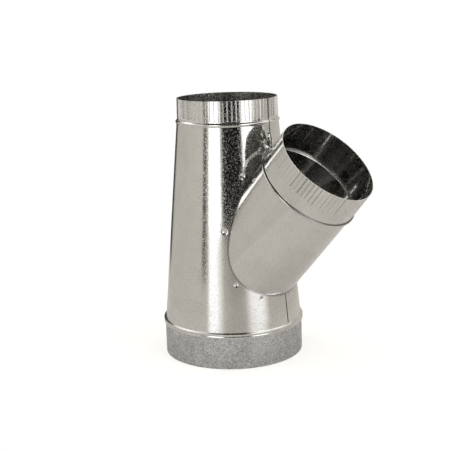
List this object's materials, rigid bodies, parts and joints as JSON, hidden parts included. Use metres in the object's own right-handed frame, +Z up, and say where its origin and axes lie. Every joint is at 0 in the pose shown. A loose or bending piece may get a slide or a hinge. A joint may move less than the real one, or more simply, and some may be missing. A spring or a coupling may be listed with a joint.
{
  "type": "duct y branch",
  "caption": "Galvanised sheet metal duct wye: a tapered trunk on a large plain collar, with a small crimped top end and a round crimped branch leaning out of its side.",
  "frame": {"origin": "centre of the bottom rim of the base collar, on the surface it stands on", "axes": "+Z up the trunk's axis, +X to the side that the branch leans to, +Y across"},
  "size_m": [0.3319, 0.2084, 0.377],
  "materials": {
    "bright_galvanised": "smooth bright zinc coat, lightly brushed",
    "dull_galvanised": "dull mottled zinc coat"
  },
  "bodies": {
    "root": {"base_collar": "dull_galvanised", "trunk": "bright_galvanised", "branch": "bright_galvanised"}
  },
  "joints": []
}
